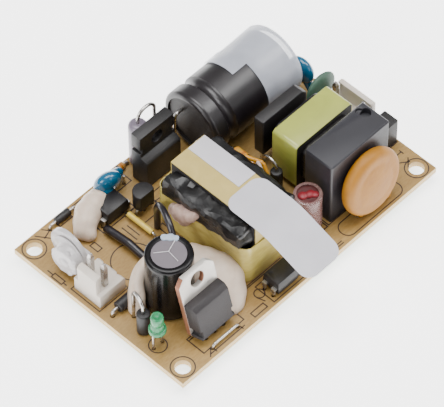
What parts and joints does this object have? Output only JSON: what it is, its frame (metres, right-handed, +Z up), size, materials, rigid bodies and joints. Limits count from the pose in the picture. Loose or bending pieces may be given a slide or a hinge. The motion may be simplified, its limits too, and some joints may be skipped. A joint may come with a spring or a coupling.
{
  "type": "open frame power supply",
  "caption": "Open frame switching power supply: single board with a lying bulk capacitor, taped transformer, input filter parts and pin connectors.",
  "frame": {"origin": "middle of the four mounting holes, on the underside of the board", "axes": "+X along the long edge, from the output connector to the input connector; +Y along the short edge, from the front edge, where the varistor and the hanging label are, to the back edge with the lying capacitor; +Z up, from the underside of the board to the side that carries the parts"},
  "size_m": [0.078, 0.0572, 0.0224],
  "materials": {
    "paper_board": "phenolic paper laminate, uncoated, with dark print",
    "solder": "bright soldered joint with flux sheen",
    "black_sleeve": "heat shrunk film, glossy",
    "bung_rubber": "moulded rubber",
    "clear_film": "milky wrapped film",
    "can_aluminium": "drawn can, satin",
    "tinned_wire": "tinned wire, satin",
    "mould_compound": "moulded epoxy, fine grain",
    "tinned_tab": "tinned copper, satin",
    "resistor_grey": "dipped lacquer",
    "resistor_tan": "dipped lacquer",
    "blue_epoxy": "dipped epoxy, glossy",
    "trimmer_white": "moulded, sealed with clear glue",
    "nylon": "moulded nylon, satin",
    "lamp_green": "cast tinted epoxy",
    "silicone": "cured silicone, satin",
    "yellow_sleeve": "extruded sleeve",
    "wire_black": "extruded insulation",
    "ferrite": "fired ferrite, ground",
    "bobbin_plastic": "moulded phenolic",
    "enamel_copper": "enamelled copper wire",
    "black_tape": "crumpled polyester tape",
    "beige_tape": "polyester tape",
    "yellow_tape": "polyester tape",
    "label_white": "blank label stock",
    "red_varnish": "enamelled wire and red dab",
    "shrink_clear": "clear pinkish shrink sleeve",
    "lime_tape": "polyester tape",
    "grey_case": "moulded box",
    "orange_epoxy": "dipped epoxy, waxy",
    "green_epoxy": "dipped epoxy, matt",
    "ceramic_chip": "chip with tinned ends"
  },
  "bodies": {
    "root": {"circuit_board": "paper_board", "solder_joints": "solder", "bulk_capacitor": "black_sleeve", "bulk_capacitor_bung": "bung_rubber", "bulk_capacitor_film": "clear_film", "output_capacitor_can": "can_aluminium", "output_capacitor_sleeve": "black_sleeve", "capacitor_leads": "tinned_wire", "switch_transistor": "mould_compound", "rectifier_body": "mould_compound", "rectifier_tab": "tinned_tab", "shunt_regulator": "mould_compound", "transistor_leads": "tinned_wire", "bridge_rectifier": "mould_compound", "output_diode": "mould_compound", "damping_diode": "mould_compound", "clamp_diode": "mould_compound", "signal_diode": "mould_compound", "startup_resistor": "resistor_grey", "snubber_resistor": "resistor_tan", "sense_resistor": "resistor_tan", "axial_leads": "tinned_wire", "front_disc_capacitor": "blue_epoxy", "rear_disc_capacitor": "blue_epoxy", "feedback_optocoupler": "mould_compound", "protection_optocoupler": "mould_compound", "optocoupler_leads": "tinned_wire", "trimmer_body": "trimmer_white", "trimmer_rotor": "trimmer_white", "output_connector": "nylon", "input_connector": "nylon", "connector_posts": "tinned_wire", "indicator_lamp": "lamp_green", "silicone_beads": "silicone", "bare_jumpers": "tinned_wire", "yellow_jumper": "yellow_sleeve", "black_jumper": "wire_black", "secondary_lead": "wire_black", "transformer_core": "ferrite", "transformer_bobbin": "bobbin_plastic", "transformer_winding": "enamel_copper", "winding_wrap": "black_tape", "core_tape": "beige_tape", "skirt_tape": "yellow_tape", "bobbin_pins": "tinned_wire", "part_label": "label_white", "flag_label": "label_white", "drum_inductor": "red_varnish", "drum_inductor_sleeve": "shrink_clear", "choke_core": "ferrite", "choke_bobbin": "bobbin_plastic", "choke_winding": "enamel_copper", "choke_tape": "lime_tape", "box_capacitor": "grey_case", "varistor": "orange_epoxy", "fuse_block": "mould_compound", "thermistor": "green_epoxy", "radial_leads": "tinned_wire", "controller_chip": "mould_compound", "chip_resistors": "ceramic_chip"}
  },
  "joints": []
}
